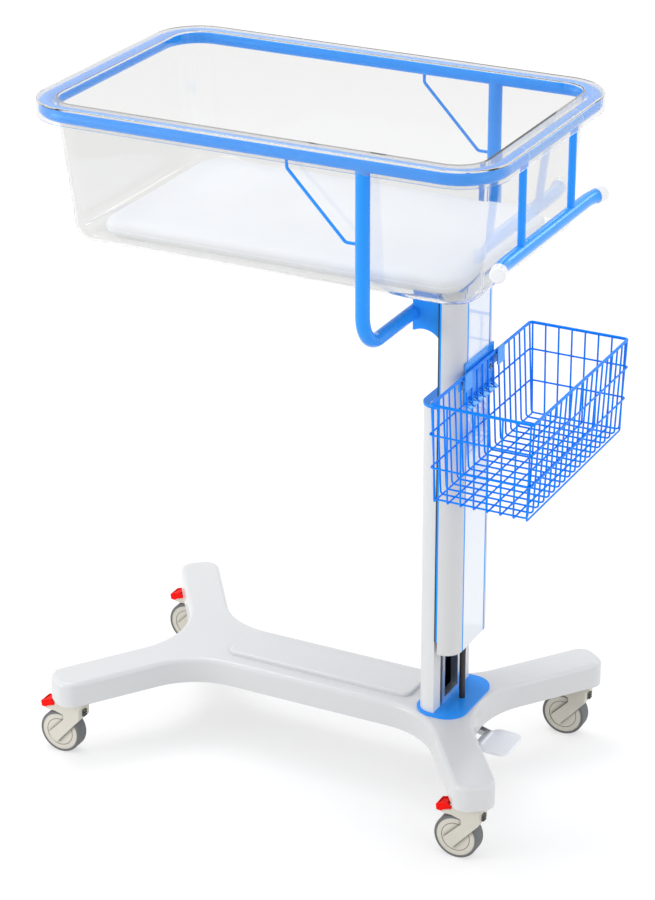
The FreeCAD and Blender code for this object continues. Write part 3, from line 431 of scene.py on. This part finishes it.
# ------------------------------------------------------------------ mattress
class BASSINET_OT_mattress(bpy.types.Operator):
    """Crowned foam pad in a coated cover, lying in the tub"""

    bl_idname = "bassinet.mattress"
    bl_label = "Mattress"

    def execute(self, context):
        colours, sizes = context.scene.bassinet_colours, context.scene.bassinet_sizes
        low, high = (Vector(corner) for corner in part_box("mattress"))
        shrink = sizes.mattress_shrink
        side = Vector((shrink, shrink, 0))
        pad = block("mattress_pad", low + side, high - side - Vector((0, 0, shrink / 2)))
        pick_edges(pad, upright)
        bpy.ops.mesh.bevel(offset=PAD_CORNER - shrink, segments=10, affect="EDGES")
        bpy.ops.object.mode_set(mode="OBJECT")
        pick_edges(pad, level)
        bpy.ops.mesh.bevel(offset=PAD_RIM, segments=4, affect="EDGES")
        bpy.ops.object.mode_set(mode="OBJECT")
        remesh = pad.modifiers.new("Remesh", "REMESH")
        remesh.mode = "VOXEL"
        remesh.voxel_size = sizes.mattress_voxel
        bpy.ops.object.modifier_apply(modifier=remesh.name)
        rest = [point.co.copy() for point in pad.data.vertices]
        cloth = pad.modifiers.new("Cloth", "CLOTH")
        cloth.settings.quality = 6
        cloth.settings.use_pressure = True
        cloth.settings.uniform_pressure_force = CLOTH_PRESSURE
        cloth.settings.effector_weights.gravity = 0.0
        cloth.point_cache.frame_start = 1
        cloth.point_cache.frame_end = CLOTH_FRAMES
        for step in range(1, CLOTH_FRAMES + 1):
            context.scene.frame_set(step)
        bpy.ops.object.modifier_apply(modifier=cloth.name)
        context.scene.frame_set(1)
        cap = sizes.mattress_crown
        for point, start in zip(pad.data.vertices, rest):
            move = point.co - start
            if move.length > cap:
                move = move.normalized() * cap
            place = start + move
            place.z = min(max(place.z, low.z), high.z + cap * 0.5)
            point.co = place
        smooth = pad.modifiers.new("Smooth", "CORRECTIVE_SMOOTH")
        smooth.iterations = 6
        smooth.use_only_smooth = True
        bpy.ops.object.modifier_apply(modifier=smooth.name)
        fine = pad.modifiers.new("Subdivision", "SUBSURF")
        fine.levels = 1
        fine.render_levels = 1
        bpy.ops.object.modifier_apply(modifier=fine.name)
        bpy.ops.object.shade_smooth()
        for point in pad.data.vertices:
            point.co.z = max(point.co.z, low.z)
        cover = surface("mattress_cover", colours.mattress_white, 0.62, cloud=9.0,
                        grain_scale=1400.0, grain_depth=0.00003, vary=0.015)
        tree = cover.node_tree
        # painted shade down the side of the pad
        shade_band = ramp(tree, own_axis(tree, "Z"), high.z - PAD_UNSHADED_SIDE, low.z)
        repaint(tree, tree.nodes["Principled BSDF"], shade_band, colours.mattress_shade_band)
        pad.data.materials.append(cover)
        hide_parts("mattress")
        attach(pad, "mattress")
        seam = bead_loop("mattress_seam", low + side, high - side, PAD_CORNER,
                         low.z + (high.z - low.z) * SEAM_LEVEL, pad, sizes.seam_width)
        welt = surface("mattress_weld", colours.mattress_white, 0.5, cloud=9.0, vary=0.02)
        seam.data.materials.append(welt)
        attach(seam, "mattress")
        return {"FINISHED"}


# ------------------------------------------------------------------ finishes on the frame's nodes
class BASSINET_OT_tubes(bpy.types.Operator):
    """Powder coat on ring, yoke, handle, plates and hanger"""

    bl_idname = "bassinet.tubes"
    bl_label = "Tubes and plates"

    def execute(self, context):
        colours = context.scene.bassinet_colours
        for finish, base, names in (
                ("blue_powder_coat", colours.tube_blue,
                 ["yoke_tube", "brace_rods", "handle_struts"]),
                ("blue_ring_coat", colours.ring_blue, ["ring_tube"])):
            coat = surface(finish, base, 0.26, cloud=7.0, grain_scale=700.0,
                           grain_depth=0.00001, vary=0.03, specular=0.5, sheen=CYAN)
            finish_nodes(coat, names)
        # plates and hanger get painted shade in their inside corners
        plate = surface("blue_plate_coat", colours.tube_blue, 0.38, cloud=9.0,
                        grain_scale=700.0, grain_depth=0.00001, vary=0.04, specular=0.3,
                        crease_shade_reach=0.008, sheen=CYAN)
        finish_nodes(plate, ["yoke_bracket", "column_cap", "foot_plate"])
        drawn = surface("blue_hanger_coat", colours.tube_blue, 0.2, cloud=45.0,
                        grain_scale=900.0, grain_depth=0.00004, vary=0.14,
                        stretch=(1, 1, 0.08), specular=1.0, crease_shade_reach=0.008, sheen=CYAN)
        finish_nodes(drawn, ["hanger_plate"])
        gloss = surface("blue_gloss_coat", colours.handle_blue, 0.16, cloud=40.0,
                        grain_scale=120.0, grain_depth=0.0002, vary=0.03, specular=1.0,
                        sheen=CYAN)
        finish_nodes(gloss, ["handle_top_tube", "push_bar"])
        sleeve = surface("white_sleeve", (0.85, 0.86, 0.87, 1), 0.35, vary=0.01)
        finish_nodes(sleeve, ["joint_sleeves"])
        end_cap = surface("end_cap_plastic", (0.86, 0.87, 0.89, 1), 0.10, vary=0.02, coat=0.6)
        finish_nodes(end_cap, ["bar_caps"])
        return {"FINISHED"}


class BASSINET_OT_screws(bpy.types.Operator):
    """Socket-head screws in the cap plate and the hanger"""

    bl_idname = "bassinet.screws"
    bl_label = "Screws"

    def execute(self, context):
        sizes = context.scene.bassinet_sizes
        brass = surface("passivated_brass", (0.80, 0.68, 0.42, 1), 0.30, metallic=0.6,
                        grain_scale=1200.0)
        # the sockets' insides are black as painted shade
        socket = surface("socket_painted_shade", (0.01, 0.01, 0.011, 1), 0.5)
        for node, body, axis, turn in (
                ("cap_screws", "base", 2, Matrix.Identity(4)),
                ("hanger_bolts", "lift", 0, Matrix.Rotation(math.pi / 2, 4, "Y"))):
            low, high = (Vector(corner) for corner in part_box(node))
            across = 2 - axis
            radius = (high[across] - low[across]) / 2
            depth = high[axis] - low[axis]
            heads = []
            for side in (-1, 1):
                spot = Vector((high.x, side * (high.y - radius), high.z))
                spot[across] -= radius
                screw = socket_screw(node + "_head", radius, depth, sizes)
                screw.data.transform(Matrix.Translation(spot) @ turn)
                screw.data.materials.append(brass)
                screw.data.materials.append(socket)
                # faces inside the socket take the painted shade
                for face in screw.data.polygons:
                    off = turn.inverted() @ (face.center - spot)
                    sunk = -sizes.screw_head < off.z < -0.0001
                    inner = math.hypot(off.x, off.y) < radius * (SOCKET_WIDTH + 0.02)
                    face.material_index = int(sunk and inner)
                heads.append(screw)
            deselect()
            for screw in heads:
                screw.select_set(True)
            context.view_layer.objects.active = heads[0]
            bpy.ops.object.join()
            bpy.ops.object.shade_smooth_by_angle(angle=math.radians(35))
            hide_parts(node)
            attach(heads[0], body)
        return {"FINISHED"}


class BASSINET_OT_column(bpy.types.Operator):
    """Paint, panel, rail and seals of the telescopic column"""

    bl_idname = "bassinet.column"
    bl_label = "Column"

    def execute(self, context):
        colours = context.scene.bassinet_colours
        # the fixed column gets a lighter copy of the column paint: painted light
        for node, finish, base in (("inner_column", "column_paint", colours.column_grey),
                                   ("outer_column", "fixed_lit_paint", colours.fixed_lit_grey)):
            paint = surface(finish, base, 0.38, cloud=4.0, grain_scale=800.0,
                            grain_depth=0.00002, vary=0.015)
            finish_nodes(paint, [node])
        panel = surface("gloss_panel", colours.panel_white, 0.05, cloud=3.0,
                        grain_depth=0.0, vary=0.01, coat=0.8)
        finish_nodes(panel, ["front_panel"])
        trim = surface("trim_plastic", colours.trim_blue, 0.35, vary=0.02, specular=0.2)
        finish_nodes(trim, ["trim_strips"])
        # real seal strips in the gap, coloured black as painted shade of the dark gap behind them
        gap_seal_shade = surface("seal_shade_rubber", (0.008, 0.008, 0.01, 1), 0.6, vary=0.1)
        finish_nodes(gap_seal_shade, ["gap_seals"])
        rail = surface("anodised_rail", (0.70, 0.76, 0.84, 1), 0.3, metallic=0.9,
                       grain_scale=500.0, stretch=(1, 1, 0.02), grain_depth=0.00002)
        # the rail is painted dark behind its lips: painted shade
        tree = rail.node_tree
        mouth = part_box("column_rail")[1][0] - RAIL_SHADE_DEPTH
        pocket_shade = ramp(tree, own_axis(tree, "X"), mouth + 0.0002, mouth)
        repaint(tree, tree.nodes["Principled BSDF"], pocket_shade, colours.rail_pocket_shade)
        finish_nodes(rail, ["column_rail"])
        guide = surface("guide_plastic", (0.02, 0.03, 0.05, 1), 0.4)
        finish_nodes(guide, ["guide_blocks"])
        dark = surface("dark_coated_steel", (0.035, 0.03, 0.028, 1), 0.35, metallic=0.4,
                       grain_scale=600.0, stretch=(1, 1, 0.05))
        finish_nodes(dark, ["spring_rod", "spring_body"])
        plate = surface("zinc_plate", (0.50, 0.52, 0.54, 1), 0.4, metallic=0.9)
        finish_nodes(plate, ["spring_anchor", "release_bracket", "release_pin",
                             "release_arm", "caster_stems"])
        return {"FINISHED"}


class BASSINET_OT_tub(bpy.types.Operator):
    """Clear plastic of the tub"""

    bl_idname = "bassinet.tub"
    bl_label = "Tub"

    def execute(self, context):
        sheet = clear_plastic("clear_tub", tint=(0.86, 0.86, 0.855, 1),
                              edge=(0.74, 0.72, 0.69, 1), loss=(0.98, 0.98, 0.98, 1),
                              gloss_roughness=0.01)
        finish_nodes(sheet, ["tub"])
        return {"FINISHED"}


class BASSINET_OT_basket(bpy.types.Operator):
    """Dip-coated wires of the basket"""

    bl_idname = "bassinet.basket"
    bl_label = "Basket"

    def execute(self, context):
        colours = context.scene.bassinet_colours
        wire = surface("blue_dip_coat", colours.wire_blue, 0.30, cloud=20.0,
                       grain_scale=1500.0, grain_depth=0.00001, vary=0.05, specular=0.4,
                       sheen=CYAN)
        finish_nodes(wire, ["basket_hoops", "basket_cross_wires", "basket_long_wires"])
        return {"FINISHED"}


class BASSINET_OT_base(bpy.types.Operator):
    """Moulded cover, hidden frame and release pedal"""

    bl_idname = "bassinet.base"
    bl_label = "Base"

    def execute(self, context):
        colours = context.scene.bassinet_colours
        shell = surface("shell_plastic", colours.shell_white, 0.22, cloud=3.0,
                        grain_scale=1100.0, grain_depth=0.00001, vary=0.012, specular=0.5)
        finish_nodes(shell, ["base_cover"])
        # paler pedal plastic as painted light against the shade under the base cover
        step = surface("pedal_lit_plastic", colours.pedal_lit_white, 0.35, cloud=20.0,
                       grain_scale=1100.0, vary=0.015)
        finish_nodes(step, ["release_pedal"])
        steel = surface("frame_paint", (0.07, 0.075, 0.08, 1), 0.5)
        finish_nodes(steel, ["base_frame"])
        return {"FINISHED"}


class BASSINET_OT_casters(bpy.types.Operator):
    """Forks, hubs, tyres and brake pedals"""

    bl_idname = "bassinet.casters"
    bl_label = "Casters"

    def execute(self, context):
        colours = context.scene.bassinet_colours
        # forks, hubs, brakes and grips get painted shade in their creases; the hubs also where
        # the fork arms close over them
        beige = surface("caster_plastic", colours.caster_beige, 0.45, cloud=25.0,
                        grain_scale=1600.0, grain_depth=0.00003, vary=0.03, crease_shade_reach=0.004)
        disc = surface("hub_plastic", colours.caster_beige, 0.45, cloud=25.0,
                       grain_scale=1600.0, grain_depth=0.00003, vary=0.03, crease_shade_reach=0.0065,
                       touching=True)
        rubber = surface("tyre_rubber", colours.tyre_grey, 0.7, cloud=30.0,
                         grain_scale=1300.0, grain_depth=0.00005, vary=0.08)
        red = surface("brake_plastic", colours.brake_red, 0.5, cloud=30.0,
                      grain_scale=1500.0, vary=0.05, specular=0.12, crease_shade_reach=0.006)
        grip = surface("grip_rubber", (0.11, 0.12, 0.11, 1), 0.6, crease_shade_reach=0.003)
        steel = surface("axle_steel", (0.55, 0.56, 0.58, 1), 0.3, metallic=1.0)
        for caster in CASTERS:
            name = "caster_" + caster + "_"
            finish_nodes(beige, [name + "fork"])
            finish_nodes(disc, [name + "hub"])
            finish_nodes(rubber, [name + "tyre"])
            finish_nodes(red, [name + "brake"])
            finish_nodes(grip, [name + "buffer"])
            finish_nodes(steel, [name + "pins"])
        return {"FINISHED"}


# ------------------------------------------------------------------ stage
class BASSINET_OT_stage(bpy.types.Operator):
    """Pale floor, soft lamps and camera"""

    bl_idname = "bassinet.stage"
    bl_label = "Studio"

    def execute(self, context):
        self.floor()
        self.world(context)
        self.lamps()
        self.camera(context)
        return {"FINISHED"}

    def floor(self):
        deselect()
        bpy.ops.mesh.primitive_plane_add(size=60, location=(0, 0, 0))
        floor = bpy.context.object
        floor.name = "studio_floor"
        material, tree, shader = new_material("floor_paper")
        shader.inputs["Base Color"].default_value = (FLOOR_PAPER,) * 3 + (1,)
        shader.inputs["Roughness"].default_value = 0.9
        shader.inputs["Specular IOR Level"].default_value = 0.0
        glow = tree.nodes.new("ShaderNodeEmission")
        glow.inputs["Color"].default_value = (1, 1, 1, 1)
        glow.inputs["Strength"].default_value = FLOOR_GLOW
        shade = tree.nodes.new("ShaderNodeBsdfDiffuse")
        shade.inputs["Color"].default_value = (FLOOR_SHADOW,) * 3 + (1,)
        seen = tree.nodes.new("ShaderNodeAddShader")
        tree.links.new(glow.outputs["Emission"], seen.inputs[0])
        tree.links.new(shade.outputs["BSDF"], seen.inputs[1])
        mix = tree.nodes.new("ShaderNodeMixShader")
        tree.links.new(seen_ray(tree), mix.inputs["Fac"])
        tree.links.new(shader.outputs["BSDF"], mix.inputs[1])
        tree.links.new(seen.outputs["Shader"], mix.inputs[2])
        tree.links.new(mix.outputs["Shader"], tree.nodes["Material Output"].inputs["Surface"])
        floor.data.materials.append(material)

    def world(self, context):
        world = bpy.data.worlds.new("studio")
        world.use_nodes = True
        context.scene.world = world
        tree = world.node_tree
        tree.nodes.clear()
        output = tree.nodes.new("ShaderNodeOutputWorld")
        ambient = tree.nodes.new("ShaderNodeBackground")
        ambient.inputs["Color"].default_value = (0.99, 0.995, 1.0, 1)
        ambient.inputs["Strength"].default_value = AMBIENT
        white = tree.nodes.new("ShaderNodeBackground")
        white.inputs["Color"].default_value = (1, 1, 1, 1)
        white.inputs["Strength"].default_value = 1.0
        mix = tree.nodes.new("ShaderNodeMixShader")
        tree.links.new(seen_ray(tree), mix.inputs["Fac"])
        tree.links.new(ambient.outputs["Background"], mix.inputs[1])
        tree.links.new(white.outputs["Background"], mix.inputs[2])
        tree.links.new(mix.outputs["Shader"], output.inputs["Surface"])

    def lamps(self):
        for name, place, size, power, diffuse in LAMPS:
            light = bpy.data.lights.new(name, "AREA")
            light.shape = "DISK"
            light.size = size
            light.energy = power
            light.diffuse_factor = diffuse
            lamp = bpy.data.objects.new(name, light)
            bpy.context.collection.objects.link(lamp)
            lamp.location = place
            aim = Vector(LAMP_TARGET) - Vector(place)
            lamp.rotation_euler = aim.to_track_quat("-Z", "Y").to_euler()

    def camera(self, context):
        data = bpy.data.cameras.new("camera")
        data.sensor_width = 36.0
        data.lens = CAMERA_LENS
        camera = bpy.data.objects.new("camera", data)
        context.collection.objects.link(camera)
        turn, rise, roll = (math.radians(angle) for angle in CAMERA_ANGLES)
        back = Vector((math.sin(turn) * math.cos(rise), -math.cos(turn) * math.cos(rise),
                       math.sin(rise)))
        right = Vector((math.cos(turn), math.sin(turn), 0))
        up = back.cross(right)
        across = right * math.cos(roll) + up * math.sin(roll)
        above = up * math.cos(roll) - right * math.sin(roll)
        pose = Matrix((across, above, back)).transposed().to_4x4()
        pose.translation = CAMERA_PLACE
        camera.matrix_world = pose
        context.scene.camera = camera
        context.scene.view_settings.view_transform = "Standard"


class BASSINET_PT_panel(bpy.types.Panel):
    """Bassinet pieces and finishes"""

    bl_label = "Bassinet"
    bl_idname = "BASSINET_PT_panel"
    bl_space_type = "VIEW_3D"
    bl_region_type = "UI"
    bl_category = "Bassinet"

    def draw(self, context):
        for group in (context.scene.bassinet_colours, context.scene.bassinet_sizes):
            for name in group.bl_rna.properties.keys():
                if name not in ("rna_type", "name"):
                    self.layout.prop(group, name)
        for operator in OPERATORS:
            self.layout.operator(operator.bl_idname)


OPERATORS = (BASSINET_OT_stage, BASSINET_OT_tubes, BASSINET_OT_screws, BASSINET_OT_column,
             BASSINET_OT_tub, BASSINET_OT_basket, BASSINET_OT_base, BASSINET_OT_casters,
             BASSINET_OT_mattress)
CLASSES = (BassinetColours, BassinetSizes) + OPERATORS + (BASSINET_PT_panel,)


def register():
    for item in CLASSES:
        bpy.utils.register_class(item)
    bpy.types.Scene.bassinet_colours = bpy.props.PointerProperty(type=BassinetColours)
    bpy.types.Scene.bassinet_sizes = bpy.props.PointerProperty(type=BassinetSizes)


def unregister():
    del bpy.types.Scene.bassinet_sizes
    del bpy.types.Scene.bassinet_colours
    for item in reversed(CLASSES):
        bpy.utils.unregister_class(item)


def main():
    register()
    bpy.ops.bassinet.stage()
    bpy.ops.bassinet.tubes()
    bpy.ops.bassinet.screws()
    bpy.ops.bassinet.column()
    bpy.ops.bassinet.tub()
    bpy.ops.bassinet.basket()
    bpy.ops.bassinet.base()
    bpy.ops.bassinet.casters()
    bpy.ops.bassinet.mattress()


if __name__ == "__main__":
    main()
